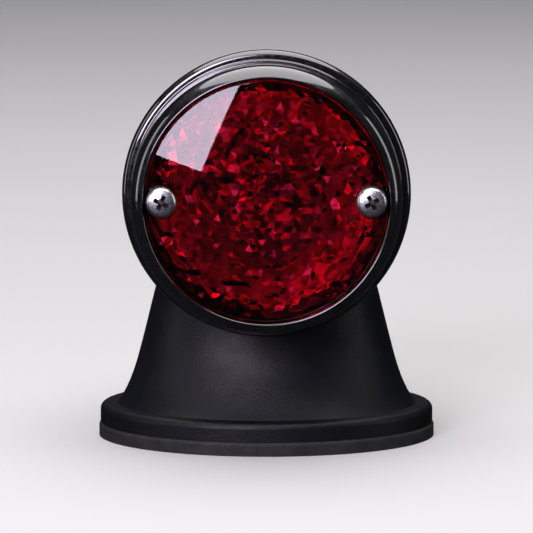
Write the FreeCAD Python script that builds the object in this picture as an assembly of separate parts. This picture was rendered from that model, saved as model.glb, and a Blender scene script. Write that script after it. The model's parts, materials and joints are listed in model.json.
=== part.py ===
"""Round motorcycle tail light on a flared pedestal.

The lamp looks towards -Y and its axis is level. The origin is the centre of the
pad's underside, which is the face that the lamp stands on, and +Z is up.
Everything is in millimetres. A profile is drawn with X as the distance from the
lamp's axis and Y as the place along it, and is then turned about that axis.
"""

import math
import os

import FreeCAD, Part
from FreeCAD import Vector

# Lamp axis and the main planes along it, front to back.
AXIS_Z = 54.0
LENS_APEX_Y = -35.0
LENS_EDGE_Y = -32.0
LIP_Y = -33.2
SEAT_Y = -24.5
LEDGE_FRONT_Y = -23.5
LEDGE_BACK_Y = -21.5
RIM_BACK_Y = -17.6
MOUTH_Y = -17.1
DOME_START_Y = -16.0
DOME_LENGTH = 59.0

# Radii about the lamp axis.
LENS_R = 25.0
SKIRT_R = 23.5
RING_BORE_R = 25.3
RING_R = 28.0
RIM_R = 30.1
HOUSING_R = 29.0
HOUSING_WALL = 1.8
LEDGE_R = 22.7
CAVITY_R = HOUSING_R - HOUSING_WALL

# Lens screws.
SCREW_X = 21.6
SCREW_SEAT_Y = -31.9
SCREW_WASHER = 0.5
SCREW_HEAD_R = 3.2
SCREW_HEAD_H = 2.2
SCREW_R = 1.7
SCREW_LENGTH = 16.0
PILLAR_R = 3.4
PILLAR_BACK_Y = -9.0

# Lens walls.
LENS_WALL = 2.4
LENS_EDGE_ROUND = 0.5
BOSS_R = 3.2
RECESS_R = 3.5
CLEAR_R = 2.0

# Reflector.
REFLECTOR_WALL = 0.6
REFLECTOR_RIM_Y = -19.4
REFLECTOR_RIM_R = 21.6
REFLECTOR_MID = (18.3, -6.0)
REFLECTOR_HUB_R = 13.2
REFLECTOR_HUB_Y = 2.0
REFLECTOR_HOLE_R = 9.2
REFLECTOR_SCREW_Z = 11.2
REFLECTOR_SCREW_R = 1.0

# Bulb holder: a tube with two bayonet slots, on a strap that screws to the housing.
TUBE_R = 8.6
TUBE_BORE_R = 7.8
TUBE_FRONT_Y = 1.0
TUBE_BACK_Y = 31.0
STRAP_Y = 2.6
STRAP_THICK = 1.2
STRAP_SCREW_X = 19.5
STRAP_HALF_WIDTH = 4.5
STRAP_SCREW_R = 1.5
LOCK_STACK = 1.0
EARTH_TAB = 0.4
POST_R = 3.2
POST_BACK_Y = 14.0

# Bulb: glass ball on a neck, in a brass cap with two side pins.
BALL_R = 13.2
BALL_Y = -14.8
NECK_R = 7.2
NECK_BACK_Y = 10.0
NECK_FILLET_R = 4.5
GLASS_WALL = 0.6
CAP_R = 7.5
CAP_BORE_R = 7.2
CAP_FRONT_Y = 4.5
CAP_BACK_Y = 18.6
PIN_R = 1.0
PIN_REACH = 8.5
PIN_LEFT_Y = 13.5
PIN_RIGHT_Y = 10.5
CONTACT_Z = 3.7
CONTACT_Y = 20.0
CONTACT_GAP = 0.03
FILAMENT_Y = -17.0

# Bayonet travel: the bulb pushes in against the contacts and turns to leave.
PUSH_TRAVEL = 2.2
TWIST_DEG = 20.0
SLOT_GAP = 0.05

# Contact block and its sprung plungers.
BLOCK_FRONT_Y = 22.6
PLUNGER_R = 2.2
PLUNGER_LENGTH = 5.6
PLUNGER_BORE_R = 2.25
SPRING_SEAT_Y = 29.4
SPRING_WIRE_R = 0.17
SPRING_R = 1.6
SPRING_TURNS = 4

# Pedestal: half width and half depth of its oval section at each height.
PAD_THICK = 3.0
PEDESTAL_SECTIONS = (
    (7.0, 31.8, 24.5),
    (11.0, 29.5, 21.6),
    (15.0, 28.0, 19.6),
    (20.0, 26.6, 17.9),
    (27.0, 24.85, 16.9),
    (34.0, 23.1, 16.3),
    (42.0, 21.2, 15.9),
)
FOOT_HALF_WIDTH = 35.5
FOOT_HALF_DEPTH = 27.5
FOOT_HEIGHT = 4.0
MOUNT_X = 22.0
INSERT_R = 4.0
INSERT_LENGTH = 12.0
INSERT_BORE_R = 2.5
CABLE_Y = 9.5
CABLE_BORE_R = 4.6
DRAIN_Y = 23.5
DRAIN_R = 1.5
GROMMET_BORE_R = 3.6
GROMMET_NECK_R = 5.6
GROMMET_FLANGE_R = 7.2
GROMMET_TOP_Z = 33.0

# Screws that hold the housing on the pedestal.
FLOOR_SCREW_X = 9.5
FLOOR_SCREW_Y = -4.0
FLOOR_SEAT_Z = 31.8
FLOOR_SCREW_R = 2.45
FLOOR_SCREW_LENGTH = 18.0
FLOOR_HEAD_R = 4.2
FLOOR_HEAD_H = 3.0
FLOOR_WASHER = 1.0
FLOOR_WASHER_R = 4.6
FLOOR_CLEAR_R = 2.75

ORIGIN = Vector(0, 0, 0)
ALONG_X = Vector(1, 0, 0)
ALONG_Y = Vector(0, 1, 0)
ALONG_Z = Vector(0, 0, 1)
SIDES = (-1, 1)


def cylinder_y(radius, start, end, x=0.0, z=0.0):
    """A cylinder along Y, with x and z measured from the lamp's axis."""
    low = min(start, end)
    return Part.makeCylinder(radius, abs(end - start), Vector(x, low, AXIS_Z + z), ALONG_Y)


def cylinder_z(radius, start, end, x=0.0, y=0.0):
    return Part.makeCylinder(radius, end - start, Vector(x, y, start), ALONG_Z)


def tube_y(outer, inner, start, end, x=0.0, z=0.0):
    return cylinder_y(outer, start, end, x, z).cut(cylinder_y(inner, start, end, x, z))


def box(low, high):
    size = [b - a for a, b in zip(low, high)]
    return Part.makeBox(*size, Vector(*low))


def outline(start, *steps):
    """Edges from start: a step of one point is a line, and one of two points is an arc by the first."""
    edges = []
    at = Vector(*start)
    for step in steps:
        points = [Vector(*p) for p in step]
        if len(points) == 1:
            edges.append(Part.LineSegment(at, points[0]).toShape())
        else:
            edges.append(Part.Arc(at, points[0], points[1]).toShape())
        at = points[-1]
    return edges


def polar_point(centre, radius, degrees):
    a = math.radians(degrees)
    return (centre[0] + radius * math.cos(a), centre[1] + radius * math.sin(a))


def turned(edges):
    """The solid that a closed profile makes about the lamp's axis."""
    face = Part.Face(Part.Wire(Part.__sortEdges__(edges)))
    solid = face.revolve(ORIGIN, ALONG_Y, 360)
    solid.translate(Vector(0, 0, AXIS_Z))
    return solid


def closed(start, *steps):
    return turned(outline(start, *steps, (start,)))


def oval(z, half_width, half_depth):
    ellipse = Part.Ellipse(Vector(half_width, 0, z), Vector(0, half_depth, z), Vector(0, 0, z))
    return Part.Wire(ellipse.toShape())


def oval_plate(z, height, half_width, half_depth):
    return Part.Face(oval(z, half_width, half_depth)).extrude(Vector(0, 0, height))


def on_both_sides(make):
    return Part.makeCompound([make(side) for side in SIDES])


def pan_head(radius, height, seat_y, x, z=0.0):
    """A low domed head whose underside is at seat_y, facing -Y."""
    edge = 0.55 * height
    dome = [(0.72 * radius, -0.9 * height), (0.0, -height)]
    steps = [((radius, 0.0),), ((radius, -edge),), dome]
    face = Part.Face(Part.Wire(outline((0.0, 0.0), *steps, ((0.0, 0.0),))))
    head = face.revolve(ORIGIN, ALONG_Y, 360)
    head.translate(Vector(x, seat_y, AXIS_Z + z))
    return head


def cross_recess(radius, depth, front_y, x, z=0.0, arm=0.9):
    """The tapered cross that a Phillips driver fits."""
    cone = Part.makeCone(radius, 0.35 * radius, depth, Vector(x, front_y, AXIS_Z + z), ALONG_Y)
    middle = Vector(x, front_y, AXIS_Z + z)
    upright = box((-arm / 2, 0, -radius), (arm / 2, depth, radius))
    level = box((-radius, 0, -arm / 2), (radius, depth, arm / 2))
    cross = upright.fuse(level)
    cross.rotate(ORIGIN, ALONG_Y, 45)
    cross.translate(middle)
    return cone.common(cross)


def pan_screw(head_r, head_h, shank_r, length, seat_y, x, z=0.0):
    head = pan_head(head_r, head_h, seat_y, x, z)
    tip = 0.4
    shank = cylinder_y(shank_r, seat_y - 0.2, seat_y + length - tip, x, z)
    point = Part.makeCone(
        shank_r, shank_r - tip, tip, Vector(x, seat_y + length - tip, AXIS_Z + z), ALONG_Y
    )
    recess = cross_recess(0.62 * head_r, 0.72 * head_h, seat_y - head_h - 0.01, x, z)
    return head.fuse([shank, point]).cut(recess).removeSplitter()


# Lamp front: lens, bezel ring and their seals.


def dome_y(radius, apex_y, sphere_r):
    return apex_y + sphere_r - math.sqrt(sphere_r**2 - radius**2)


def lens():
    rise = LENS_EDGE_Y - LENS_APEX_Y
    sphere_r = (LENS_R**2 + rise**2) / (2 * rise)
    inner_apex = LENS_APEX_Y + LENS_WALL
    inner_sphere = sphere_r - LENS_WALL
    corner = LENS_R - LENS_EDGE_ROUND
    corner_y = dome_y(corner, LENS_APEX_Y, sphere_r)
    edge_y = corner_y + LENS_EDGE_ROUND
    diagonal = LENS_EDGE_ROUND * math.sqrt(0.5)
    round_mid = (corner + diagonal, edge_y - diagonal)
    outer_mid = (corner / 2, dome_y(corner / 2, LENS_APEX_Y, sphere_r))
    inner_mid = (SKIRT_R / 2, dome_y(SKIRT_R / 2, inner_apex, inner_sphere))
    inner_edge = (SKIRT_R, dome_y(SKIRT_R, inner_apex, inner_sphere))
    shell = closed(
        (0.0, LENS_APEX_Y),
        (outer_mid, (corner, corner_y)),
        (round_mid, (LENS_R, edge_y)),
        ((LENS_R, SEAT_Y),),
        ((SKIRT_R, SEAT_Y),),
        (inner_edge,),
        (inner_mid, (0.0, inner_apex)),
    )
    for side in SIDES:
        x = side * SCREW_X
        shell = shell.fuse(cylinder_y(BOSS_R, LENS_EDGE_Y + 1.0, SEAT_Y, x))
        shell = shell.cut(cylinder_y(RECESS_R, LENS_APEX_Y, SCREW_SEAT_Y, x))
        shell = shell.cut(cylinder_y(CLEAR_R, LENS_APEX_Y, SEAT_Y, x))
    return shell.removeSplitter()


def lens_gasket():
    ring = tube_y(LENS_R, SKIRT_R, SEAT_Y, LEDGE_FRONT_Y)
    for side in SIDES:
        ring = ring.fuse(cylinder_y(BOSS_R, SEAT_Y, LEDGE_FRONT_Y, side * SCREW_X))
    for side in SIDES:
        ring = ring.cut(cylinder_y(CLEAR_R, SEAT_Y, LEDGE_FRONT_Y, side * SCREW_X))
    return ring.removeSplitter()


def bezel_profile():
    """From the lip's inner edge up its slope, round the shoulder, along the barrel and up the rim."""
    edge = 0.35
    shoulder = 3.3
    rim = 0.6
    slope_deg = -60.0
    rim_slope_deg = -40.0
    shoulder_centre = (RING_R - shoulder, LIP_Y + shoulder - 0.1)
    slope_end = polar_point(shoulder_centre, shoulder, slope_deg)
    shoulder_mid = polar_point(shoulder_centre, shoulder, slope_deg / 2)
    edge_r = RING_BORE_R + edge
    slope = math.radians(slope_deg)
    reach = shoulder - edge - (edge_r - shoulder_centre[0]) * math.cos(slope)
    edge_centre = (edge_r, shoulder_centre[1] + reach / math.sin(slope))
    edge_mid = polar_point(edge_centre, edge, (slope_deg - 180.0) / 2)
    rim_centre = (RIM_R - rim, RIM_BACK_Y - rim)
    rim_edge = polar_point(rim_centre, rim, rim_slope_deg)
    rim_rise = (rim_edge[0] - RING_R) / math.tan(math.radians(-rim_slope_deg))
    rim_mid = polar_point(rim_centre, rim, (rim_slope_deg + 90.0) / 2)
    spigot_r = CAVITY_R - 0.1
    spigot_y = RIM_BACK_Y + 2.2
    return [
        (RING_BORE_R, edge_centre[1]),
        (edge_mid, polar_point(edge_centre, edge, slope_deg)),
        (slope_end,),
        (shoulder_mid, (RING_R, shoulder_centre[1])),
        ((RING_R, rim_edge[1] - rim_rise),),
        (rim_edge,),
        (rim_mid, (rim_centre[0], RIM_BACK_Y)),
        ((spigot_r, RIM_BACK_Y),),
        ((spigot_r, spigot_y),),
        ((RING_BORE_R, spigot_y),),
    ]


def bezel_ring():
    """A round lip about the lens, a barrel behind it and a wide sloping rim at its root."""
    ring = closed(
        *bezel_profile(),
        ((RING_BORE_R, LEDGE_BACK_Y),),
        ((LEDGE_R, LEDGE_BACK_Y),),
        ((LEDGE_R, LEDGE_FRONT_Y),),
        ((RING_BORE_R, LEDGE_FRONT_Y),),
    )
    for side in SIDES:
        ring = ring.fuse(cylinder_y(PILLAR_R, LEDGE_FRONT_Y, LEDGE_BACK_Y, side * SCREW_X))
    for side in SIDES:
        ring = ring.cut(cylinder_y(CLEAR_R, LEDGE_FRONT_Y, LEDGE_BACK_Y, side * SCREW_X))
    return ring.removeSplitter()


def housing_seal():
    return tube_y(HOUSING_R - 0.3, CAVITY_R, RIM_BACK_Y, MOUTH_Y)


def lens_screw(side):
    seat = SCREW_SEAT_Y - SCREW_WASHER
    return pan_screw(SCREW_HEAD_R, SCREW_HEAD_H, SCREW_R, SCREW_LENGTH, seat, side * SCREW_X)


def lens_screw_washer(side):
    outer = SCREW_HEAD_R - 0.1
    return tube_y(outer, CLEAR_R, SCREW_SEAT_Y - SCREW_WASHER, SCREW_SEAT_Y, side * SCREW_X)


# Housing: a bullet-shaped cup with pillars for the screws inside it.


def bullet(inset):
    """The housing's outer shape drawn inset, filled in and cut off flat at the mouth."""
    radius = HOUSING_R - inset
    end_y = DOME_START_Y + DOME_LENGTH - inset
    centre = Vector(0, DOME_START_Y, 0)
    oval_side = Part.Ellipse(Vector(0, end_y, 0), Vector(radius, DOME_START_Y, 0), centre)
    nose = Part.Arc(oval_side, 0, math.pi / 2).toShape()
    straight = outline((0, end_y), ((0, MOUTH_Y),), ((radius, MOUTH_Y),), ((radius, DOME_START_Y),))
    return turned([*straight, nose])


def lens_pillar(side):
    """The post that a lens screw bites into, with a rib to the wall."""
    x = side * SCREW_X
    near, far = sorted((x, side * HOUSING_R))
    rib = box((near, MOUTH_Y + 1.9, AXIS_Z - 2.0), (far, PILLAR_BACK_Y, AXIS_Z + 2.0))
    return cylinder_y(PILLAR_R, LEDGE_BACK_Y, PILLAR_BACK_Y, x).fuse(rib)


def strap_post(side):
    """The post that carries one end of the bulb holder's strap, with a rib to the wall."""
    x = side * STRAP_SCREW_X
    front = STRAP_Y + STRAP_THICK
    near, far = sorted((x, side * HOUSING_R))
    rib = box((near, front, AXIS_Z - 1.5), (far, POST_BACK_Y, AXIS_Z + 1.5))
    return cylinder_y(POST_R, front, POST_BACK_Y, x).fuse(rib)


def floor_pad(side):
    return cylinder_z(FLOOR_WASHER_R + 0.6, 20.0, FLOOR_SEAT_Z, side * FLOOR_SCREW_X, FLOOR_SCREW_Y)


def housing():
    shell = bullet(0.0).cut(bullet(HOUSING_WALL))
    mid_wall = bullet(HOUSING_WALL / 2).fuse(cylinder_y(CAVITY_R, LEDGE_BACK_Y, MOUTH_Y))
    for side in SIDES:
        for inner in (lens_pillar(side), strap_post(side), floor_pad(side)):
            shell = shell.fuse(inner.common(mid_wall))
    for side in SIDES:
        x = side * SCREW_X
        shell = shell.cut(cylinder_y(SCREW_R + 0.05, LEDGE_BACK_Y, PILLAR_BACK_Y - 1.5, x))
        x = side * STRAP_SCREW_X
        shell = shell.cut(cylinder_y(STRAP_SCREW_R + 0.05, STRAP_Y, POST_BACK_Y - 2.0, x))
        x = side * FLOOR_SCREW_X
        shell = shell.cut(cylinder_z(FLOOR_CLEAR_R, 20.0, FLOOR_SEAT_Z, x, FLOOR_SCREW_Y))
    shell = shell.cut(cylinder_z(GROMMET_NECK_R, 20.0, GROMMET_TOP_Z, 0, CABLE_Y))
    return shell.cut(cylinder_z(DRAIN_R, 20.0, AXIS_Z, 0, DRAIN_Y)).removeSplitter()


def cable_grommet():
    """Sits in the housing's floor, with a flange inside it and its neck through the wall."""
    neck = cylinder_z(GROMMET_NECK_R, 20.0, GROMMET_TOP_Z, 0, CABLE_Y).common(bullet(0.0))
    flange = cylinder_z(GROMMET_FLANGE_R, 20.0, GROMMET_TOP_Z, 0, CABLE_Y).common(bullet(HOUSING_WALL))
    hole = cylinder_z(GROMMET_BORE_R, 20.0, GROMMET_TOP_Z, 0, CABLE_Y)
    return neck.fuse(flange).cut(hole).removeSplitter()


def hexagon(across_flats, low, high, x, y):
    corner = across_flats / math.sqrt(3)
    angles = [math.radians(60 * i) for i in range(7)]
    corners = [Vector(x + corner * math.cos(a), y + corner * math.sin(a), low) for a in angles]
    return Part.Face(Part.makePolygon(corners)).extrude(Vector(0, 0, high - low))


def floor_screw(side):
    """A socket head screw, driven from inside the housing down into the pedestal."""
    x = side * FLOOR_SCREW_X
    seat = FLOOR_SEAT_Z + FLOOR_WASHER
    top = seat + FLOOR_HEAD_H
    head = cylinder_z(FLOOR_HEAD_R, seat, top - 0.4, x, FLOOR_SCREW_Y)
    base = Vector(x, FLOOR_SCREW_Y, top - 0.4)
    crown = Part.makeCone(FLOOR_HEAD_R, FLOOR_HEAD_R - 0.4, 0.4, base)
    shank = cylinder_z(FLOOR_SCREW_R, seat - FLOOR_SCREW_LENGTH, seat, x, FLOOR_SCREW_Y)
    socket = hexagon(4.0, top - 1.8, top, x, FLOOR_SCREW_Y)
    return head.fuse([crown, shank]).cut(socket).removeSplitter()


def floor_washer(side):
    top = FLOOR_SEAT_Z + FLOOR_WASHER
    x = side * FLOOR_SCREW_X
    plate = cylinder_z(FLOOR_WASHER_R, FLOOR_SEAT_Z, top, x, FLOOR_SCREW_Y)
    return plate.cut(cylinder_z(FLOOR_CLEAR_R, FLOOR_SEAT_Z, top, x, FLOOR_SCREW_Y))


# Reflector and bulb holder.


def reflector():
    """A bowl with a flat hub, open at the middle for the bulb and notched round the pillars."""
    wall = REFLECTOR_WALL
    rim_r = REFLECTOR_RIM_R
    rim_y = REFLECTOR_RIM_Y
    mid_r, mid_y = REFLECTOR_MID
    hub_back = REFLECTOR_HUB_Y + wall
    bowl = closed(
        (REFLECTOR_HOLE_R, REFLECTOR_HUB_Y),
        ((REFLECTOR_HUB_R, REFLECTOR_HUB_Y),),
        ((mid_r, mid_y), (rim_r, rim_y)),
        ((rim_r + 1.2, rim_y),),
        ((rim_r + 1.2, rim_y + wall),),
        ((rim_r + wall, rim_y + wall),),
        ((mid_r + 0.8 * wall, mid_y + 0.6 * wall), (REFLECTOR_HUB_R + 0.5 * wall, hub_back)),
        ((REFLECTOR_HOLE_R, hub_back),),
    )
    for side in SIDES:
        notch = cylinder_y(PILLAR_R + 0.6, LEDGE_BACK_Y, PILLAR_BACK_Y + 1.0, side * SCREW_X)
        hole = cylinder_y(REFLECTOR_SCREW_R, 0.0, hub_back, 0, side * REFLECTOR_SCREW_Z)
        bowl = bowl.cut(notch).cut(hole)
    return bowl.removeSplitter()


def reflector_screw(side):
    z = side * REFLECTOR_SCREW_Z
    return pan_screw(1.75, 1.2, REFLECTOR_SCREW_R, 3.4, REFLECTOR_HUB_Y, 0.0, z)


def sector(first, last, low, high):
    """A wedge about the lamp's axis through the tube's wall, between two angles from +X."""
    start, middle, end = (math.radians(a) for a in (first, (first + last) / 2, last))
    near = TUBE_BORE_R - 1.0
    far = TUBE_R + 1.0
    polar = ((near, start), (far, start), (far, middle), (far, end), (near, end), (near, start))
    corners = [Vector(r * math.cos(a), low, AXIS_Z + r * math.sin(a)) for r, a in polar]
    return Part.Face(Part.makePolygon(corners)).extrude(Vector(0, high - low, 0))


def bayonet_slot(rest, pin_y):
    """Room for one pin: a way in from the front of the tube and the window that it turns in."""
    reach = math.degrees(math.asin((PIN_R + 0.15) / TUBE_R))
    front = pin_y - PIN_R - SLOT_GAP
    back = pin_y + PIN_R + PUSH_TRAVEL + 0.15
    window = sector(rest - reach, rest + TWIST_DEG + reach, front, back)
    entry = sector(rest + TWIST_DEG - reach, rest + TWIST_DEG + reach, TUBE_FRONT_Y - 1.0, back)
    return window.fuse(entry)


def bulb_holder():
    tube = tube_y(TUBE_R, TUBE_BORE_R, TUBE_FRONT_Y, TUBE_BACK_Y)
    crimp = tube_y(TUBE_R, TUBE_BORE_R - 0.9, TUBE_BACK_Y, TUBE_BACK_Y + 0.6)
    back = STRAP_Y + STRAP_THICK
    disc = cylinder_y(REFLECTOR_HUB_R + 1.0, STRAP_Y, back)
    half = STRAP_HALF_WIDTH
    bar = box((-STRAP_SCREW_X, STRAP_Y, AXIS_Z - half), (STRAP_SCREW_X, back, AXIS_Z + half))
    ends = [cylinder_y(half, STRAP_Y, back, side * STRAP_SCREW_X) for side in SIDES]
    strap = disc.fuse([bar, *ends]).cut(cylinder_y(TUBE_R - 0.1, STRAP_Y, back))
    holder = tube.fuse([crimp, strap])
    for side in SIDES:
        holder = holder.cut(cylinder_y(CLEAR_R, STRAP_Y, back, side * STRAP_SCREW_X))
        z = side * REFLECTOR_SCREW_Z
        holder = holder.cut(cylinder_y(REFLECTOR_SCREW_R + 0.02, STRAP_Y, back, 0, z))
    holder = holder.cut(bayonet_slot(0.0, PIN_RIGHT_Y)).cut(bayonet_slot(180.0, PIN_LEFT_Y))
    return holder.removeSplitter()


def holder_screw(side):
    seat = STRAP_Y - LOCK_STACK
    return pan_screw(2.9, 2.0, STRAP_SCREW_R, 9.0, seat, side * STRAP_SCREW_X)


def lock_washer(side):
    """A split spring washer under a strap screw's head. The right one stands on the earth tab."""
    x = side * STRAP_SCREW_X
    front = STRAP_Y - LOCK_STACK
    back = STRAP_Y - (EARTH_TAB if side > 0 else 0.0)
    split = box((x - 0.25, front - 1.0, AXIS_Z), (x + 0.25, back + 1.0, AXIS_Z + 4.0))
    return tube_y(2.8, 1.7, front, back, x).cut(split)


def earth_tab():
    """An eye under the right strap screw's washer and a blade that points down."""
    front = STRAP_Y - EARTH_TAB
    x = STRAP_SCREW_X
    eye = cylinder_y(3.4, front, STRAP_Y, x)
    blade = box((x - 1.6, front, AXIS_Z - 12.5), (x + 1.6, STRAP_Y, AXIS_Z))
    screw_hole = cylinder_y(CLEAR_R, front, STRAP_Y, x)
    wire_hole = cylinder_y(0.6, front, STRAP_Y, x, -10.2)
    return eye.fuse(blade).cut(screw_hole).cut(wire_hole).removeSplitter()


# Contacts behind the bulb.


def contact_block():
    block = cylinder_y(TUBE_BORE_R, BLOCK_FRONT_Y, TUBE_BACK_Y)
    for side in SIDES:
        z = side * CONTACT_Z
        block = block.cut(cylinder_y(PLUNGER_BORE_R, BLOCK_FRONT_Y, SPRING_SEAT_Y, 0, z))
        block = block.cut(cylinder_y(0.75, SPRING_SEAT_Y, TUBE_BACK_Y, 0, z))
    return block


def contact_plunger(side):
    front = CONTACT_Y + CONTACT_GAP
    z = side * CONTACT_Z
    nose = 0.7
    tip = Part.makeCone(1.3, PLUNGER_R, nose, Vector(0, front, AXIS_Z + z), ALONG_Y)
    body = cylinder_y(PLUNGER_R, front + nose, front + PLUNGER_LENGTH, 0, z)
    return tip.fuse(body).removeSplitter()


def contact_spring(side):
    """Fills a plunger's bore behind it. Its turns are drawn as rings that short posts join."""
    z = side * CONTACT_Z
    low = CONTACT_Y + CONTACT_GAP + PLUNGER_LENGTH + SPRING_WIRE_R
    pitch = (SPRING_SEAT_Y - SPRING_WIRE_R - low) / SPRING_TURNS
    coil = Part.makeTorus(SPRING_R, SPRING_WIRE_R, Vector(0, low, AXIS_Z + z), ALONG_Y)
    for turn in range(SPRING_TURNS):
        at = low + turn * pitch
        ring = Part.makeTorus(SPRING_R, SPRING_WIRE_R, Vector(0, at + pitch, AXIS_Z + z), ALONG_Y)
        post = cylinder_y(0.8 * SPRING_WIRE_R, at, at + pitch, (-1) ** turn * SPRING_R, z)
        coil = coil.fuse([ring, post])
    return coil.Solids[0]


def terminal_tab(side):
    """A blade behind the block, riveted through to the spring's seat."""
    z = side * CONTACT_Z
    plate_y = TUBE_BACK_Y + 0.8
    thick = 0.8
    half = 2.4
    stem = cylinder_y(0.7, SPRING_SEAT_Y + 0.02, plate_y, 0, z)
    collar = cylinder_y(1.8, TUBE_BACK_Y, plate_y, 0, z)
    ends = sorted((-side * half, side * 11.5))
    blade = box(
        (ends[0], plate_y, AXIS_Z + z - half), (ends[1], plate_y + thick, AXIS_Z + z + half)
    )
    hole = cylinder_y(0.8, plate_y - 1, plate_y + 2, side * 9.0, z)
    return stem.fuse([collar, blade]).cut(hole).removeSplitter()


# Bulb.


def bulb_outline(inset):
    """Neck, fillet and ball of the envelope, drawn inset from its outside, from neck to tip."""
    ball = BALL_R - inset
    fillet = NECK_FILLET_R + inset
    neck = NECK_R - inset
    across = neck + fillet
    along = math.sqrt((ball + fillet) ** 2 - across**2)
    fillet_y = BALL_Y + along
    share = ball / (ball + fillet)
    meet = (across * share, BALL_Y + along * share)
    turn = math.atan2(meet[1] - fillet_y, meet[0] - across)
    half_turn = math.radians((180.0 + math.degrees(turn) % 360.0) / 2)
    fillet_mid = (across + fillet * math.cos(half_turn), fillet_y + fillet * math.sin(half_turn))
    meet_deg = math.degrees(math.atan2(meet[1] - BALL_Y, meet[0]))
    ball_mid_at = math.radians((meet_deg - 90.0) / 2)
    ball_mid = (ball * math.cos(ball_mid_at), BALL_Y + ball * math.sin(ball_mid_at))
    return (neck, fillet_y), (fillet_mid, meet), (ball_mid, (0.0, BALL_Y - ball))


def bulb_glass():
    outer_neck, outer_fillet, outer_ball = bulb_outline(0.0)
    inner_neck, inner_fillet, inner_ball = bulb_outline(GLASS_WALL)
    outside = outline(
        (NECK_R, NECK_BACK_Y), (outer_neck,), outer_fillet, outer_ball, (inner_ball[1],)
    )
    inside = outline(
        (NECK_R, NECK_BACK_Y),
        ((NECK_R - GLASS_WALL, NECK_BACK_Y),),
        (inner_neck,),
        inner_fillet,
        inner_ball,
    )
    return turned(outside + inside)


def bulb_cap():
    cap = tube_y(CAP_R, CAP_BORE_R, CAP_FRONT_Y, CAP_BACK_Y)
    for side, y in ((-1, PIN_LEFT_Y), (1, PIN_RIGHT_Y)):
        start = Vector(side * (CAP_BORE_R + 0.1), y, AXIS_Z)
        pin = Part.makeCylinder(PIN_R, PIN_REACH - CAP_BORE_R - 0.1, start, ALONG_X * side)
        cap = cap.fuse(pin)
    return cap.removeSplitter()


def bulb_insulator():
    return closed(
        (0.0, CAP_BACK_Y - 1.2),
        ((CAP_BORE_R, CAP_BACK_Y - 1.2),),
        ((CAP_BORE_R, CAP_BACK_Y),),
        ((5.6, CONTACT_Y - 0.7),),
        ((0.0, CONTACT_Y - 0.7),),
    )


def solder_contact(side):
    z = side * CONTACT_Z
    base = Vector(0, CONTACT_Y - 0.7, AXIS_Z + z)
    return Part.makeCone(1.7, 0.9, 0.7, base, ALONG_Y)


def glass_stem():
    """The pinched glass that carries the supports up out of the neck."""
    flare = Part.makeCone(NECK_R - GLASS_WALL, 3.0, 6.0, Vector(0, 8.0, AXIS_Z), ALONG_Y * -1)
    pinch = box((-3.6, -5.0, AXIS_Z - 1.1), (3.6, 3.0, AXIS_Z + 1.1))
    return flare.fuse(pinch).removeSplitter()


def filament(z, y, half):
    return Part.makeCylinder(0.45, 2 * half, Vector(-half, y, AXIS_Z + z), ALONG_X)


def filament_supports():
    """Four wires from the pinch to the ends of the two filaments."""
    wires = []
    for z, y, half in ((1.9, FILAMENT_Y, 3.0), (-2.1, FILAMENT_Y + 2.0, 2.6)):
        for side in SIDES:
            foot = Vector(side * 2.4, -5.06, AXIS_Z + math.copysign(0.6, z))
            knee = Vector(side * (half + 0.7), y + 1.5, AXIS_Z + z)
            end = Vector(side * (half + 0.7), y, AXIS_Z + z)
            run = knee - foot
            lower = Part.makeCylinder(0.22, run.Length, foot, run)
            upper = Part.makeCylinder(0.22, 1.5, end, ALONG_Y)
            joint = Part.makeSphere(0.22, knee)
            cross = Part.makeCylinder(0.22, 0.7, end, ALONG_X * -side)
            corner = Part.makeSphere(0.22, end)
            wires.append(lower.fuse([upper, joint, cross, corner]).removeSplitter())
    return Part.makeCompound(wires)


# Pedestal and pad.


def pedestal():
    body = Part.makeLoft([oval(*section) for section in PEDESTAL_SECTIONS], True, False)
    foot = oval_plate(PAD_THICK, FOOT_HEIGHT, FOOT_HALF_WIDTH, FOOT_HALF_DEPTH)
    rims = [e for e in foot.Edges if e.BoundBox.ZLength < 1e-6 and e.BoundBox.ZMin > PAD_THICK + 1]
    foot = foot.makeFillet(1.4, rims)
    stand = body.fuse(foot)
    stand = stand.cut(cylinder_y(HOUSING_R, -40.0, MOUTH_Y)).cut(bullet(0.0))
    stand = stand.cut(cylinder_z(CABLE_BORE_R, 0.0, AXIS_Z, 0, CABLE_Y))
    for side in SIDES:
        screw_hole = cylinder_z(FLOOR_SCREW_R + 0.05, 12.5, AXIS_Z, side * FLOOR_SCREW_X, FLOOR_SCREW_Y)
        insert_hole = cylinder_z(INSERT_R, 0.0, PAD_THICK + INSERT_LENGTH, side * MOUNT_X)
        stand = stand.cut(screw_hole).cut(insert_hole)
    return stand.removeSplitter()


def thread_insert(side):
    x = side * MOUNT_X
    top = PAD_THICK + INSERT_LENGTH
    sleeve = cylinder_z(INSERT_R, PAD_THICK, top, x)
    return sleeve.cut(cylinder_z(INSERT_BORE_R, PAD_THICK, top, x))


def base_pad():
    pad = oval_plate(0, PAD_THICK, FOOT_HALF_WIDTH + 0.3, FOOT_HALF_DEPTH + 0.3)
    rims = [e for e in pad.Edges if e.BoundBox.ZLength < 1e-6 and e.BoundBox.ZMin > 1]
    pad = pad.makeFillet(0.8, rims)
    pad = pad.cut(cylinder_z(CABLE_BORE_R, 0, PAD_THICK, 0, CABLE_Y))
    for side in SIDES:
        pad = pad.cut(cylinder_z(3.4, 0, PAD_THICK, side * MOUNT_X))
    return pad


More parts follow.
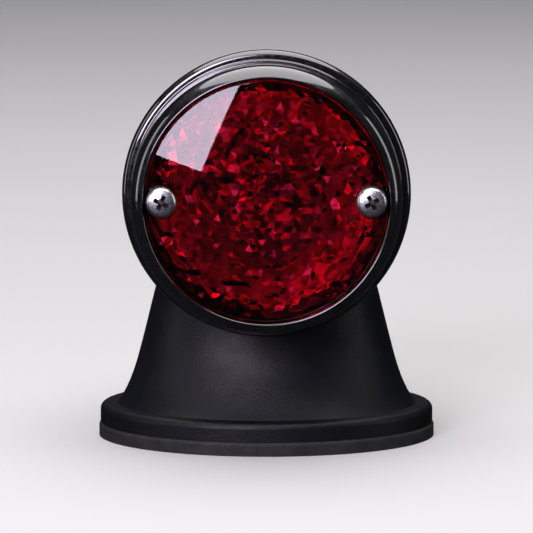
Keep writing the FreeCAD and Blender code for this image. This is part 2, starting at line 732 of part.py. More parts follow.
def parts():
    return {
        "lens": lens(),
        "lens_gasket": lens_gasket(),
        "lens_screw_left": lens_screw(-1),
        "lens_screw_right": lens_screw(1),
        "lens_screw_washer_left": lens_screw_washer(-1),
        "lens_screw_washer_right": lens_screw_washer(1),
        "bezel_ring": bezel_ring(),
        "housing_seal": housing_seal(),
        "housing": housing(),
        "cable_grommet": cable_grommet(),
        "housing_screws": on_both_sides(floor_screw),
        "housing_screw_washers": on_both_sides(floor_washer),
        "reflector": reflector(),
        "reflector_screws": on_both_sides(reflector_screw),
        "bulb_holder": bulb_holder(),
        "holder_screws": on_both_sides(holder_screw),
        "holder_lock_washers": on_both_sides(lock_washer),
        "earth_tab": earth_tab(),
        "contact_block": contact_block(),
        "contact_plungers": on_both_sides(contact_plunger),
        "contact_springs": on_both_sides(contact_spring),
        "terminal_tabs": on_both_sides(terminal_tab),
        "bulb_glass": bulb_glass(),
        "bulb_cap": bulb_cap(),
        "bulb_insulator": bulb_insulator(),
        "bulb_contacts": on_both_sides(solder_contact),
        "glass_stem": glass_stem(),
        "filament_stop": filament(1.9, FILAMENT_Y, 3.0),
        "filament_tail": filament(-2.1, FILAMENT_Y + 2.0, 2.6),
        "filament_supports": filament_supports(),
        "pedestal": pedestal(),
        "thread_inserts": on_both_sides(thread_insert),
        "base_pad": base_pad(),
    }


def main():
    os.makedirs("parts", exist_ok=True)
    for name, shape in parts().items():
        shape.exportStep(f"parts/{name}.step")
        solids = shape.Solids
        sound = all(s.isValid() and s.isClosed() and s.Volume > 0 for s in solids)
        print(f"{name}: {len(solids)} solids, {shape.Volume:.1f} mm3, {'sound' if sound else 'BAD'}")


main()
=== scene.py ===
"""Tail light on its pedestal: the visual model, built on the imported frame.

The pieces that are remade here are round about the lamp's level axis or about one parallel to it,
so most of them are turned from a profile: (distance from the axis, place along the axis).
Profiles and the sizes of pieces are in millimetres. AXIS_Z, SCREW_X, the meshes and the studio are
in metres.
"""

import json
import math
import random
import bmesh
import bpy
from mathutils import Matrix, Vector
from mathutils.geometry import delaunay_2d_cdt


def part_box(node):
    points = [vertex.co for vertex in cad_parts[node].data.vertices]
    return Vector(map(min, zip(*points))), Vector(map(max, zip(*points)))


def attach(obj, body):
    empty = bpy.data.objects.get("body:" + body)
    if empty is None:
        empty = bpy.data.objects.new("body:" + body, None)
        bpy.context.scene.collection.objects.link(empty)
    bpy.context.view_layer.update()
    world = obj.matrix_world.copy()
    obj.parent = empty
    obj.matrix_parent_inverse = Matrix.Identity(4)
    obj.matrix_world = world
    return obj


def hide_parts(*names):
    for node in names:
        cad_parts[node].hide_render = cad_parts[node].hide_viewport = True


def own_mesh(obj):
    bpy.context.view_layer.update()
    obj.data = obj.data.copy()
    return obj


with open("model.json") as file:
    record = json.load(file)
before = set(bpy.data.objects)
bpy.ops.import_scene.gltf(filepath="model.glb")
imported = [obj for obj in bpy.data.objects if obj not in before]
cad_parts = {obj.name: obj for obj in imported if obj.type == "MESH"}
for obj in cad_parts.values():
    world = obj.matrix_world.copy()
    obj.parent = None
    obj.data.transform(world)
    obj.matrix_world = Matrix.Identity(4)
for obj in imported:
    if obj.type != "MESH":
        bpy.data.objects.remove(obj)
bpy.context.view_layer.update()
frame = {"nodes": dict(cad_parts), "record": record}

MM = 0.001
SIDES = (-1, 1)
NODES = frame["nodes"]

# Places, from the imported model: the lamp's level axis, and how far the lens screws are from it.
LENS_LOW, LENS_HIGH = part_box("lens")
AXIS_Z = (LENS_LOW.z + LENS_HIGH.z) / 2
SCREW_LOW, SCREW_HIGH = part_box("lens_screw_right")
SCREW_X = (SCREW_LOW.x + SCREW_HIGH.x) / 2

random.seed(7)


# Meshes.


def shade(mesh, sharp_deg=35.0, flat=None):
    """Smooths the mesh, except on faces that flat picks and across turns of more than sharp_deg."""
    bm = bmesh.new()
    bm.from_mesh(mesh)
    limit = math.radians(sharp_deg)
    for face in bm.faces:
        face.smooth = not (flat and flat(face))
    for edge in bm.edges:
        edge.smooth = len(edge.link_faces) == 2 and edge.calc_face_angle(0.0) < limit
    bm.to_mesh(mesh)
    bm.free()


def mesh_from(bm, name, sharp_deg=35.0):
    bmesh.ops.recalc_face_normals(bm, faces=bm.faces)
    mesh = bpy.data.meshes.new(name)
    bm.to_mesh(mesh)
    bm.free()
    shade(mesh, sharp_deg)
    return mesh


def true_normals(mesh, normal_at):
    """Gives each corner the exact normal that normal_at(point) returns, where it and the face agree."""
    exact = [normal_at(vertex.co) for vertex in mesh.vertices]
    normals = [corner.vector.copy() for corner in mesh.corner_normals]
    for face in mesh.polygons:
        for corner in face.loop_indices:
            normal = exact[mesh.loops[corner].vertex_index]
            if normal is not None and normal.dot(face.normal) > 0.93:
                normals[corner] = normal
    mesh.normals_split_custom_set(normals)


def arc(centre, radius, first_deg, last_deg, steps):
    """Points of a profile's rounded corner."""
    points = []
    for i in range(steps + 1):
        a = math.radians(first_deg + (last_deg - first_deg) * i / steps)
        points.append((centre[0] + radius * math.cos(a), centre[1] + radius * math.sin(a)))
    return points


def add_turned(bm, profile, segments, x=0.0, close=True):
    """Adds the surface that a profile in millimetres sweeps about an axis along Y."""
    rings = []
    for r, y in profile:
        if r < 1e-6:
            rings.append([bm.verts.new((x, y * MM, AXIS_Z))])
            continue
        ring = []
        for i in range(segments):
            a = 2 * math.pi * i / segments
            ring.append(bm.verts.new((x + r * MM * math.cos(a), y * MM, AXIS_Z + r * MM * math.sin(a))))
        rings.append(ring)
    pairs = list(zip(rings, rings[1:]))
    if close:
        pairs.append((rings[-1], rings[0]))
    for one, two in pairs:
        if len(one) == 1 and len(two) == 1:
            continue
        for i in range(segments):
            j = (i + 1) % segments
            if len(one) == 1:
                bm.faces.new((one[0], two[i], two[j]))
            elif len(two) == 1:
                bm.faces.new((one[i], two[0], one[j]))
            else:
                bm.faces.new((one[i], two[i], two[j], one[j]))


def turned(name, profile, segments, x=0.0):
    bm = bmesh.new()
    add_turned(bm, profile, segments, x)
    return mesh_from(bm, name)


def add_cylinder(bm, radius, front_y, back_y, x):
    profile = [(0, front_y), (radius, front_y), (radius, back_y), (0, back_y)]
    add_turned(bm, profile, 64, x, close=False)


def throwaway_cylinder(radius, front_y, back_y, x):
    bm = bmesh.new()
    add_cylinder(bm, radius, front_y, back_y, x)
    return throwaway(bm)


def combine(piece, other, operation):
    """Joins or cuts with a throwaway object and leaves the result in the piece's own mesh."""
    step = piece.modifiers.new("combine", "BOOLEAN")
    step.operation = operation
    step.solver = "EXACT"
    step.object = other
    graph = bpy.context.evaluated_depsgraph_get()
    mesh = bpy.data.meshes.new_from_object(piece.evaluated_get(graph))
    piece.modifiers.clear()
    piece.data = mesh
    bpy.data.objects.remove(other)
    shade(mesh)


def subtract(piece, cutter):
    combine(piece, cutter, "DIFFERENCE")


def throwaway(bm):
    bmesh.ops.recalc_face_normals(bm, faces=bm.faces)
    mesh = bpy.data.meshes.new("throwaway")
    bm.to_mesh(mesh)
    bm.free()
    piece = bpy.data.objects.new("throwaway", mesh)
    bpy.context.scene.collection.objects.link(piece)
    return piece


def helix_points(radius, start, end, turns, per_turn, phase=0.0):
    """Points of a coil about a Y axis through the origin, in millimetres."""
    total = int(turns * per_turn)
    points = []
    for i in range(total + 1):
        a = phase + 2 * math.pi * i / per_turn
        y = start + (end - start) * i / total
        points.append(Vector((radius * math.cos(a), y, radius * math.sin(a))))
    return points


def add_wire(bm, points, radius, sides):
    """Adds a round wire through the points, with flat ends. Everything is in metres."""
    rings = []
    across = None
    for i, point in enumerate(points):
        ahead = points[min(i + 1, len(points) - 1)] - points[max(i - 1, 0)]
        ahead.normalize()
        if across is None:
            across = ahead.orthogonal().normalized()
        across = (across - ahead * across.dot(ahead)).normalized()
        up = ahead.cross(across)
        ring = []
        for k in range(sides):
            a = 2 * math.pi * k / sides
            ring.append(bm.verts.new(point + (across * math.cos(a) + up * math.sin(a)) * radius))
        rings.append(ring)
    for one, two in zip(rings, rings[1:]):
        for k in range(sides):
            m = (k + 1) % sides
            bm.faces.new((one[k], one[m], two[m], two[k]))
    bm.faces.new(list(reversed(rings[0])))
    bm.faces.new(rings[-1])


# Materials.


class Look:
    """A material's nodes, added one line at a time."""

    def __init__(self, name):
        self.material = bpy.data.materials.new(name)
        self.material.use_nodes = True
        self.nodes = self.material.node_tree.nodes
        self.links = self.material.node_tree.links
        self.shader = self.nodes["Principled BSDF"]
        self.place = self.nodes.new("ShaderNodeTexCoord").outputs["Object"]

    def set(self, **values):
        for key, value in values.items():
            self.shader.inputs[key.replace("_", " ")].default_value = value

    def noise(self, size_mm, detail=3.0, stretch=(1, 1, 1)):
        """Soft noise with lumps about size_mm across."""
        place = self.place
        if stretch != (1, 1, 1):
            mapping = self.nodes.new("ShaderNodeMapping")
            mapping.inputs["Scale"].default_value = stretch
            self.links.new(place, mapping.inputs["Vector"])
            place = mapping.outputs["Vector"]
        node = self.nodes.new("ShaderNodeTexNoise")
        node.inputs["Scale"].default_value = 1.0 / (size_mm * MM)
        node.inputs["Detail"].default_value = detail
        self.links.new(place, node.inputs["Vector"])
        return node.outputs["Fac"]

    def ramp(self, value, low, high, to_low, to_high):
        node = self.nodes.new("ShaderNodeMapRange")
        for key, number in zip(("From Min", "From Max", "To Min", "To Max"), (low, high, to_low, to_high)):
            node.inputs[key].default_value = number
        self.links.new(value, node.inputs["Value"])
        return node.outputs["Result"]

    def colour(self, value, one, two):
        """A base colour that goes from one to two as value goes from 0 to 1."""
        node = self.nodes.new("ShaderNodeMix")
        node.data_type = "RGBA"
        node.inputs["A"].default_value = (*one, 1.0)
        node.inputs["B"].default_value = (*two, 1.0)
        self.links.new(value, node.inputs["Factor"])
        self.links.new(node.outputs["Result"], self.shader.inputs["Base Color"])

    def roughness(self, value):
        self.links.new(value, self.shader.inputs["Roughness"])

    def bump(self, value, height_mm):
        node = self.nodes.new("ShaderNodeBump")
        node.inputs["Strength"].default_value = 1.0
        node.inputs["Distance"].default_value = height_mm * MM
        self.links.new(value, node.inputs["Height"])
        self.links.new(node.outputs["Normal"], self.shader.inputs["Normal"])


def enamel():
    look = Look("gloss_black")
    look.set(IOR=1.5, Coat_Weight=1.0, Coat_Roughness=0.03, Coat_IOR=1.62)
    tone = look.ramp(look.noise(6.0), 0.3, 0.7, 0, 1)
    look.colour(tone, (0.0015, 0.0015, 0.002), (0.0035, 0.0033, 0.0038))
    look.roughness(look.ramp(look.noise(1.2, 6.0), 0.35, 0.75, 0.12, 0.3))
    look.bump(look.noise(1.6, 2.0), 0.004)
    return look.material


def powder_coat():
    look = Look("satin_black")
    look.set(Specular_IOR_Level=0.2)
    tone = look.ramp(look.noise(9.0), 0.3, 0.7, 0, 1)
    look.colour(tone, (0.0014, 0.0017, 0.0028), (0.0032, 0.0037, 0.0056))
    look.roughness(look.ramp(look.noise(4.0, 3.0), 0.3, 0.7, 0.42, 0.50))
    look.bump(look.noise(0.5, 2.0), 0.05)
    return look.material


def rubber():
    look = Look("rubber")
    look.set(Specular_IOR_Level=0.35)
    tone = look.ramp(look.noise(3.0, 6.0), 0.35, 0.7, 0, 1)
    look.colour(tone, (0.005, 0.005, 0.005), (0.013, 0.0125, 0.012))
    look.roughness(look.ramp(look.noise(1.0, 4.0), 0.3, 0.7, 0.6, 0.8))
    look.bump(look.noise(0.25, 4.0), 0.03)
    return look.material


def metal(name, one, two, smooth, rough, grain_mm, height_mm):
    look = Look(name)
    look.set(Metallic=1.0)
    look.colour(look.ramp(look.noise(1.8, 5.0), 0.35, 0.65, 0, 1), one, two)
    look.roughness(look.ramp(look.noise(grain_mm * 3, 4.0), 0.3, 0.7, smooth, rough))
    look.bump(look.noise(grain_mm, 3.0), height_mm)
    return look.material


def red_plastic():
    look = Look("red_lens")
    look.set(Transmission_Weight=1.0, IOR=1.49)
    tone = look.ramp(look.noise(4.5, 2.0), 0.38, 0.58, 0, 1)
    look.colour(tone, (0.34, 0.006, 0.032), (0.84, 0.014, 0.078))
    look.roughness(look.ramp(look.noise(2.0, 6.0), 0.4, 0.8, 0.0, 0.03))
    return look.material


def clear_glass():
    look = Look("clear_glass")
    look.set(Transmission_Weight=1.0, IOR=1.5)
    tone = look.ramp(look.noise(4.0), 0.3, 0.7, 0, 1)
    look.colour(tone, (0.96, 0.98, 0.98), (0.99, 1.0, 1.0))
    look.roughness(look.ramp(look.noise(3.0, 5.0), 0.4, 0.8, 0.0, 0.02))
    return look.material


def laminate():
    look = Look("phenolic")
    look.set(Specular_IOR_Level=0.4)
    look.colour(look.noise(0.6, 4.0, (1, 4, 1)), (0.11, 0.04, 0.015), (0.26, 0.12, 0.05))
    look.roughness(look.ramp(look.noise(0.8, 4.0), 0.3, 0.7, 0.4, 0.6))
    look.bump(look.noise(0.3, 3.0, (1, 4, 1)), 0.01)
    return look.material


def vitreous():
    look = Look("black_insulator")
    look.colour(look.noise(1.5, 4.0), (0.008, 0.008, 0.012), (0.03, 0.03, 0.045))
    look.roughness(look.ramp(look.noise(1.0, 3.0), 0.3, 0.7, 0.12, 0.3))
    look.bump(look.noise(0.8, 2.0), 0.02)
    return look.material


# Bare and plated metals: darkest and lightest colour, least and most roughness, grain and its height.
METALS = {
    "stainless": ((0.5, 0.5, 0.52), (0.62, 0.62, 0.64), 0.24, 0.36, 0.12, 0.003),
    "zinc_steel": ((0.52, 0.52, 0.48), (0.66, 0.65, 0.58), 0.25, 0.42, 0.2, 0.006),
    "reflector_chrome": ((0.80, 0.80, 0.81), (0.88, 0.88, 0.89), 0.26, 0.38, 0.5, 0.006),
    "brass": ((0.68, 0.45, 0.16), (0.8, 0.58, 0.24), 0.22, 0.4, 0.2, 0.006),
    "nickel": ((0.58, 0.54, 0.44), (0.7, 0.66, 0.56), 0.18, 0.34, 0.2, 0.005),
    "solder": ((0.42, 0.42, 0.43), (0.58, 0.58, 0.58), 0.3, 0.5, 0.4, 0.03),
    "tungsten": ((0.2, 0.2, 0.2), (0.32, 0.31, 0.3), 0.3, 0.5, 0.05, 0.002),
    # Painted shade, not a bare metal: the dark colour put on the faces inside the screws' cross recess.
    "recess_painted_shade": ((0.03, 0.028, 0.027), (0.14, 0.13, 0.13), 0.4, 0.6, 0.2, 0.02),
}

LOOKS = {
    "red_lens": red_plastic(),
    "gloss_black": enamel(),
    "satin_black": powder_coat(),
    "rubber": rubber(),
    "phenolic": laminate(),
    "black_insulator": vitreous(),
    "clear_glass": clear_glass(),
    **{name: metal(name, *numbers) for name, numbers in METALS.items()},
}


def dress(piece, slot):
    piece.data.materials.clear()
    piece.data.materials.append(LOOKS[slot])
    return piece


def made(name, mesh, body, slot, *nodes):
    """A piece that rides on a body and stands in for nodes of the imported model."""
    piece = bpy.data.objects.new(name, mesh)
    bpy.context.scene.collection.objects.link(piece)
    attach(piece, body)
    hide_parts(*nodes)
    return dress(piece, slot)


def dress_cad_nodes():
    slots = {part["node"]: part["material_slot"] for part in frame["record"]["subparts"]}
    for name, node in NODES.items():
        dress(node, slots[name])


# Lens.

LENS_APEX_Y = -35.0
LENS_EDGE_R = 25.0
LENS_EDGE_ROUND = 0.5
LENS_SPHERE_R = 105.667
LENS_WALL = 2.4
LENS_BACK_Y = -24.5
MOSAIC_R = 24.3
FACET_PITCH = 1.45
FACET_JITTER = 0.3
FACET_LIFT = (-0.42, 0.5)
RIM_LIFT = 0.4
FACET_BACK_Y = -28.5
BOSS_R = 3.2
RECESS_R = 3.5
RECESS_FLOOR_Y = -31.9
CLEAR_R = 2.0
AHEAD_Y = -36.0
BEHIND_Y = -20.0


def lens_front_profile():
    """The dome from its apex to the skirt, with a rounded edge that runs into it smoothly."""
    edge = LENS_EDGE_ROUND
    centre_y = LENS_APEX_Y + LENS_SPHERE_R
    reach = math.asin((LENS_EDGE_R - edge) / (LENS_SPHERE_R - edge))
    points = []
    for i in range(33):
        a = reach * i / 32
        points.append((LENS_SPHERE_R * math.sin(a), centre_y - LENS_SPHERE_R * math.cos(a)))
    edge_y = centre_y - (LENS_SPHERE_R - edge) * math.cos(reach)
    corner = arc((LENS_EDGE_R - edge, edge_y), edge, math.degrees(reach) - 90.0, 0.0, 6)
    return points + corner[1:]


def facet_points():
    """Corners of the mosaic: a loose honeycomb inside a circle."""
    points = []
    row_pitch = FACET_PITCH * 0.866
    rows = int(MOSAIC_R / row_pitch) + 1
    for row in range(-rows, rows + 1):
        for column in range(-rows - 2, rows + 3):
            x = (column + (row % 2) / 2) * FACET_PITCH + random.uniform(-FACET_JITTER, FACET_JITTER)
            z = row * row_pitch + random.uniform(-FACET_JITTER, FACET_JITTER)
            if math.hypot(x, z) < MOSAIC_R - 0.7:
                points.append(Vector((x, z)))
    return points


def mosaic_rim(count):
    rim = []
    for i in range(count):
        a = 2 * math.pi * i / count
        rim.append(Vector((math.cos(a), math.sin(a))) * MOSAIC_R)
    return rim


def mosaic_cavity():
    """The hollow behind the lens, whose front is a mosaic of small tilted facets."""
    sphere = LENS_SPHERE_R - LENS_WALL
    count = 96
    points = mosaic_rim(count) + facet_points()
    corners, _, faces, _, _, _ = delaunay_2d_cdt(points, [], [list(range(count))], 1, 1e-4)
    bm = bmesh.new()
    front = []
    for corner in corners:
        r = corner.length
        lift = random.uniform(*FACET_LIFT) if r < MOSAIC_R - 0.5 else RIM_LIFT
        y = LENS_APEX_Y + LENS_WALL + sphere - math.sqrt(sphere**2 - r**2) + lift
        front.append(bm.verts.new((corner.x * MM, y * MM, AXIS_Z + corner.y * MM)))
    for face in faces:
        bm.faces.new([front[i] for i in face])
    outline = [front[i] for i in range(count)]
    back = [bm.verts.new((v.co.x, (LENS_BACK_Y + 0.5) * MM, v.co.z)) for v in outline]
    for i in range(count):
        j = (i + 1) % count
        bm.faces.new((outline[i], outline[j], back[j], back[i]))
    bm.faces.new(back)
    cavity = throwaway(bm)
    bosses = bmesh.new()
    for side in SIDES:
        add_cylinder(bosses, BOSS_R, AHEAD_Y, BEHIND_Y, side * SCREW_X)
    subtract(cavity, throwaway(bosses))
    return cavity


def is_facet(face):
    middle = face.calc_center_median()
    across = math.hypot(middle.x, middle.z - AXIS_Z)
    return face.normal.y > 0.2 and across < MOSAIC_R * MM and middle.y < FACET_BACK_Y * MM


def dome_normal(point):
    centre = Vector((0, (LENS_APEX_Y + LENS_SPHERE_R) * MM, AXIS_Z))
    out = point - centre
    if abs(out.length - LENS_SPHERE_R * MM) > 2e-6:
        return None
    return out.normalized()


def make_lens():
    profile = lens_front_profile() + [(LENS_EDGE_R, LENS_BACK_Y + 0.2), (LENS_EDGE_R - 0.2, LENS_BACK_Y)]
    bm = bmesh.new()
    add_turned(bm, profile + [(0.0, LENS_BACK_Y)], 192, close=False)
    lens = made("lens_mosaic", mesh_from(bm, "lens_mosaic"), "lens_cover", "red_lens", "lens")
    subtract(lens, mosaic_cavity())
    holes = bmesh.new()
    for side in SIDES:
        mouth = [(0, AHEAD_Y), (RECESS_R, AHEAD_Y), (RECESS_R, RECESS_FLOOR_Y)]
        clearance = [(CLEAR_R, RECESS_FLOOR_Y), (CLEAR_R, BEHIND_Y), (0, BEHIND_Y)]
        add_turned(holes, mouth + clearance, 64, side * SCREW_X, close=False)
    subtract(lens, throwaway(holes))
    shade(lens.data, 25.0, is_facet)
    true_normals(lens.data, dome_normal)
    dress(lens, "red_lens")


# Ring round the lens.

RING_BORE_R = 25.3
LIP_EDGE_ROUND = 0.35
LIP_EDGE_CENTRE = (25.65, -32.858)
LIP_SLOPE_DEG = -60.0
SHOULDER_ROUND = 3.3
SHOULDER_CENTRE = (24.7, -30.0)
RING_R = 28.0
RIM_R = 30.1
RIM_FRONT_Y = -20.0
RIM_BACK_Y = -17.6
SPIGOT_R = 27.1
SPIGOT_Y = -15.4
LEDGE_R = 22.7
LEDGE_FRONT_Y = -23.5
LEDGE_BACK_Y = -21.5
PILLAR_R = 3.4
COVE_ROUND = 0.4
RIM_ROUND = 1.4
HEEL_ROUND = 0.5


def ring_profile():
    """The lip's edge, slope and shoulder, the barrel, the rounded rim, and the ledge inside."""
    lip = arc(LIP_EDGE_CENTRE, LIP_EDGE_ROUND, -180.0, LIP_SLOPE_DEG, 8)
    shoulder = arc(SHOULDER_CENTRE, SHOULDER_ROUND, LIP_SLOPE_DEG, 0.0, 16)
    cove = arc((RING_R + COVE_ROUND, RIM_FRONT_Y - COVE_ROUND), COVE_ROUND, 180.0, 90.0, 6)
    rim = arc((RIM_R - RIM_ROUND, RIM_FRONT_Y + RIM_ROUND), RIM_ROUND, -90.0, 0.0, 14)
    heel = arc((RIM_R - HEEL_ROUND, RIM_BACK_Y - HEEL_ROUND), HEEL_ROUND, 0.0, 90.0, 6)
    spigot = [(SPIGOT_R, RIM_BACK_Y), (SPIGOT_R, SPIGOT_Y), (RING_BORE_R, SPIGOT_Y)]
    ledge_back = [(RING_BORE_R, LEDGE_BACK_Y), (LEDGE_R, LEDGE_BACK_Y)]
    ledge_front = [(LEDGE_R, LEDGE_FRONT_Y), (RING_BORE_R, LEDGE_FRONT_Y)]
    return lip + shoulder + cove + rim + heel + spigot + ledge_back + ledge_front


def make_ring():
    mesh = turned("ring", ring_profile(), 192)
    ring = made("ring", mesh, "lamp_base", "gloss_black", "bezel_ring")
    for side in SIDES:
        x = side * SCREW_X
        combine(ring, throwaway_cylinder(PILLAR_R, LEDGE_FRONT_Y, LEDGE_BACK_Y, x), "UNION")
        subtract(ring, throwaway_cylinder(CLEAR_R, LEDGE_FRONT_Y - 1.0, LEDGE_BACK_Y + 1.0, x))
    dress(ring, "gloss_black")


# Lens screws.

HEAD_SEAT_Y = -32.4
HEAD_R = 3.2
HEAD_HEIGHT = 2.2
RECESS_DEPTH = 1.9
THREAD_R = 1.68
THREAD_DEPTH = 0.26
THREAD_PITCH = 0.6
THREAD_END_Y = -16.4
WASHER_R = 3.1
WASHER_BORE_R = 2.0
WASHER_BACK_Y = HEAD_SEAT_Y + 0.44


def slot_cutter(top_y, x, turn_deg):
    """One tapered arm of the cross that a driver fits: wide at the mouth and narrow at the bottom."""
    bm = bmesh.new()
    spin = Matrix.Rotation(math.radians(turn_deg), 4, "Y")
    corners = []
    for y, half_long, half_wide in ((-0.6, 2.0, 0.5), (RECESS_DEPTH, 0.64, 0.28)):
        for a, b in ((-1, -1), (1, -1), (1, 1), (-1, 1)):
            at = spin @ Vector((a * half_long * MM, (top_y + y) * MM, b * half_wide * MM))
            corners.append(bm.verts.new(at + Vector((x, 0, AXIS_Z))))
    for low, high in ((0, 1), (1, 2), (2, 3), (3, 0)):
        bm.faces.new((corners[low], corners[high], corners[high + 4], corners[low + 4]))
    bm.faces.new(list(reversed(corners[:4])))
    bm.faces.new(corners[4:])
    return bm


def add_thread(bm, start, x):
    """A screw thread along Y, which runs out at its end."""
    rings = []
    around = 40
    per_turn = 10
    length = THREAD_END_Y - start
    steps = int(length / THREAD_PITCH * per_turn)
    for i in range(steps + 1):
        y = start + length * i / steps
        fade = min(1.0, (THREAD_END_Y - y) / 1.2)
        ring = []
        for k in range(around):
            a = 2 * math.pi * k / around
            phase = (y / THREAD_PITCH + k / around) % 1.0
            r = THREAD_R * (0.75 + 0.25 * fade) - THREAD_DEPTH * abs(2 * phase - 1)
            ring.append(bm.verts.new((x + r * MM * math.cos(a), y * MM, AXIS_Z + r * MM * math.sin(a))))
        rings.append(ring)
    for one, two in zip(rings, rings[1:]):
        for k in range(around):
            m = (k + 1) % around
            bm.faces.new((one[k], one[m], two[m], two[k]))
    bm.faces.new(list(reversed(rings[0])))
    bm.faces.new(rings[-1])


def screw_head_profile():
    seat = HEAD_SEAT_Y
    top = seat - HEAD_HEIGHT
    dome = [(0.0, top), (0.8, top + 0.02), (1.5, top + 0.12)]
    shoulder = arc((2.15, seat - 1.0), 1.03, -70.0, 0.0, 10)
    foot = [(HEAD_R, seat - 0.35)] + arc((HEAD_R - 0.2, seat - 0.2), 0.2, 0.0, 90.0, 4)
    return dome + shoulder + foot + [(0.0, seat)]


def add_painted_recess_shade(screw, x):
    """Paints shade into the cross recess: the faces inside it get a dark second material."""
    screw.data.materials.append(LOOKS["recess_painted_shade"])
    for face in screw.data.polygons:
        across = math.hypot(face.center.x - x, face.center.z - AXIS_Z) / MM
        if across < 2.3 and HEAD_SEAT_Y - 1.95 < face.center.y / MM < HEAD_SEAT_Y - 0.25:
            face.material_index = 1


def make_lens_screw(word, side, turn_deg):
    x = side * SCREW_X
    body = f"{word}_lens_screw"
    bm = bmesh.new()
    add_turned(bm, screw_head_profile(), 96, x, close=False)
    screw = made(f"screw_{word}", mesh_from(bm, "screw", 40.0), body, "stainless", f"lens_screw_{word}")
    for quarter in (0.0, 90.0):
        subtract(screw, throwaway(slot_cutter(HEAD_SEAT_Y - HEAD_HEIGHT, x, turn_deg + quarter)))
    shank = bmesh.new()
    shank.from_mesh(screw.data)
    add_thread(shank, HEAD_SEAT_Y - 0.2, x)
    shank.to_mesh(screw.data)
    shank.free()
    shade(screw.data, 38.0)
    dress(screw, "stainless")
    # Painted shade: the faces inside the cross recess get the dark material.
    add_painted_recess_shade(screw, x)
    front = arc((2.9, HEAD_SEAT_Y + 0.2), 0.2, -90, 0, 4)
    back = [(WASHER_R, WASHER_BACK_Y), (WASHER_BORE_R, WASHER_BACK_Y), (WASHER_BORE_R, HEAD_SEAT_Y)]
    washer = turned(f"washer_{word}", front + back, 64, x)
    made(f"washer_{word}", washer, body, "rubber", f"lens_screw_washer_{word}")


# Springs and filaments, drawn as real coils.

SPRING_R = 1.6
SPRING_WIRE_R = 0.17
FILAMENT_WIRE_R = 0.075
FILAMENT_TURNS = 19


def placed(points, z):
    """Points in millimetres about an axis along Y, moved to that axis's height, in metres."""
    return [Vector((p.x * MM, p.y * MM, z + p.z * MM)) for p in points]


def make_contact_springs():
    low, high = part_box("contact_springs")
    offset = (high.z - low.z) / 2 - (SPRING_R + SPRING_WIRE_R) * MM
    start = low.y / MM + SPRING_WIRE_R
    end = high.y / MM - SPRING_WIRE_R
    after_flat = 2 * math.pi * 0.8
    bm = bmesh.new()
    for side in SIDES:
        z = AXIS_Z + side * offset
        flat = helix_points(SPRING_R, start, start + 0.1, 0.8, 24)
        rise = helix_points(SPRING_R, start + 0.1, end - 0.1, 3.0, 24, after_flat)
        top = helix_points(SPRING_R, end - 0.1, end, 0.8, 24, after_flat)
        add_wire(bm, placed(flat + rise[1:] + top[1:], z), SPRING_WIRE_R * MM, 10)
    coils = mesh_from(bm, "contact_coils", 50.0)
    springs = made("contact_coils", coils, "lamp_base", "stainless", "contact_springs")
    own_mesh(springs)


def make_filament(node, name):
    """A coil of fine wire strung between two supports, along X."""
    low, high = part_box(node)
    y = (low.y + high.y) / 2
    z = (low.z + high.z) / 2
    radius = (high.z - low.z) / 2 - 0.08 * MM
    per_turn = 14
    steps = FILAMENT_TURNS * per_turn
    points = [Vector((low.x, y, z))]
    for i in range(steps + 1):
        a = 2 * math.pi * i / per_turn
        x = low.x + (high.x - low.x) * (0.06 + 0.88 * i / steps)
        points.append(Vector((x, y + radius * math.cos(a), z + radius * math.sin(a))))
    points.append(Vector((high.x, y, z)))
    bm = bmesh.new()
    add_wire(bm, points, FILAMENT_WIRE_R * MM, 6)
    made(name, mesh_from(bm, name, 60.0), "bulb", "tungsten", node)


# Studio: floor, light and camera.

CAMERA_ELEVATION_DEG = 8.0
CAMERA_DISTANCE = 0.88
AIM_Z = 0.041


def panel(name, direction, distance, size, radiance, colour=(1, 1, 1), roll=0.0, shape="RECTANGLE"):
    """A soft box seen from the lens in a direction (azimuth from -Y towards +X, elevation), in degrees."""
    azimuth, elevation = (math.radians(a) for a in direction)
    out = Vector((
        math.sin(azimuth) * math.cos(elevation),
        -math.cos(azimuth) * math.cos(elevation),
        math.sin(elevation),
    ))
    width, height = size
    light = bpy.data.lights.new(name, "AREA")
    light.shape = shape
    light.energy = radiance * math.pi * width * height
    light.color = colour
    light.size = width
    light.size_y = height
    lamp = bpy.data.objects.new(name, light)
    bpy.context.scene.collection.objects.link(lamp)
    lamp.location = Vector((0, LENS_APEX_Y * MM, AXIS_Z)) + out * distance
    lamp.rotation_mode = "QUATERNION"
    lamp.rotation_quaternion = out.to_track_quat("Z", "Y")
    lamp.rotation_quaternion @= Matrix.Rotation(math.radians(roll), 3, "Z").to_quaternion()


def make_floor():
    bm = bmesh.new()
    bmesh.ops.create_grid(bm, x_segments=1, y_segments=1, size=6.0)
    mesh = bpy.data.meshes.new("floor")
    bm.to_mesh(mesh)
    bm.free()
    floor = bpy.data.objects.new("floor", mesh)
    bpy.context.scene.collection.objects.link(floor)
    look = Look("floor")
    look.set(Roughness=0.7)
    look.colour(look.noise(300.0), (0.46, 0.465, 0.45), (0.50, 0.505, 0.49))
    floor.data.materials.append(look.material)
    floor.visible_glossy = False


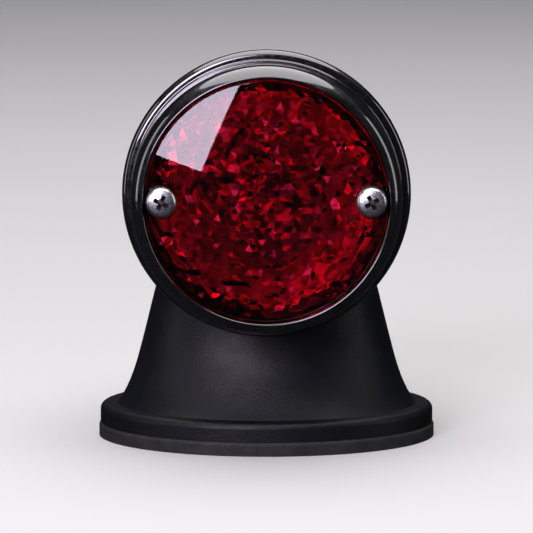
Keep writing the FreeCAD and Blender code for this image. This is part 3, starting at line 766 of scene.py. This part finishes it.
def make_world():
    world = bpy.data.worlds.new("studio")
    world.use_nodes = True
    nodes = world.node_tree.nodes
    links = world.node_tree.links
    place = nodes.new("ShaderNodeTexCoord")
    split = nodes.new("ShaderNodeSeparateXYZ")
    links.new(place.outputs["Generated"], split.inputs["Vector"])
    ramp = nodes.new("ShaderNodeValToRGB")
    ramp.color_ramp.elements[0].position = 0.6
    ramp.color_ramp.elements[0].color = (0.02, 0.021, 0.027, 1)
    ramp.color_ramp.elements[1].position = 1.0
    ramp.color_ramp.elements[1].color = (0.4, 0.41, 0.43, 1)
    links.new(split.outputs["Z"], ramp.inputs["Fac"])
    links.new(ramp.outputs["Color"], nodes["Background"].inputs["Color"])
    nodes["Background"].inputs["Strength"].default_value = 1.0
    bpy.context.scene.world = world


def make_camera():
    data = bpy.data.cameras.new("camera")
    data.sensor_width = 36.0
    data.lens = 290.0
    camera = bpy.data.objects.new("camera", data)
    bpy.context.scene.collection.objects.link(camera)
    elevation = math.radians(CAMERA_ELEVATION_DEG)
    back = Vector((0, -math.cos(elevation), math.sin(elevation)))
    aim = Vector((0, LENS_APEX_Y * MM, AIM_Z))
    camera.location = aim + back * CAMERA_DISTANCE
    camera.rotation_mode = "QUATERNION"
    camera.rotation_quaternion = (-back).to_track_quat("-Z", "Y")
    data.clip_start = 0.01
    bpy.context.scene.camera = camera


def make_lights():
    bpy.context.scene.view_settings.view_transform = "Standard"
    panel("window", (-21.4, 20.2), 1.3, (0.553, 0.795), 14.0, (0.90, 0.80, 1.0), -19.0)
    panel("overhead", (0, 88), 1.0, (1.35, 1.9), 2.8, (1.0, 0.96, 0.99), shape="ELLIPSE")
    panel("left_side", (-76, 14), 1.2, (0.32, 0.9), 2.5)
    panel("right_side", (76, 14), 1.2, (0.32, 0.9), 2.5)


make_camera()
make_floor()
make_world()
make_lights()
dress_cad_nodes()
make_lens()
make_ring()
make_lens_screw("left", -1, 24.0)
make_lens_screw("right", 1, 61.0)
make_contact_springs()
make_filament("filament_stop", "stop_coil")
make_filament("filament_tail", "tail_coil")
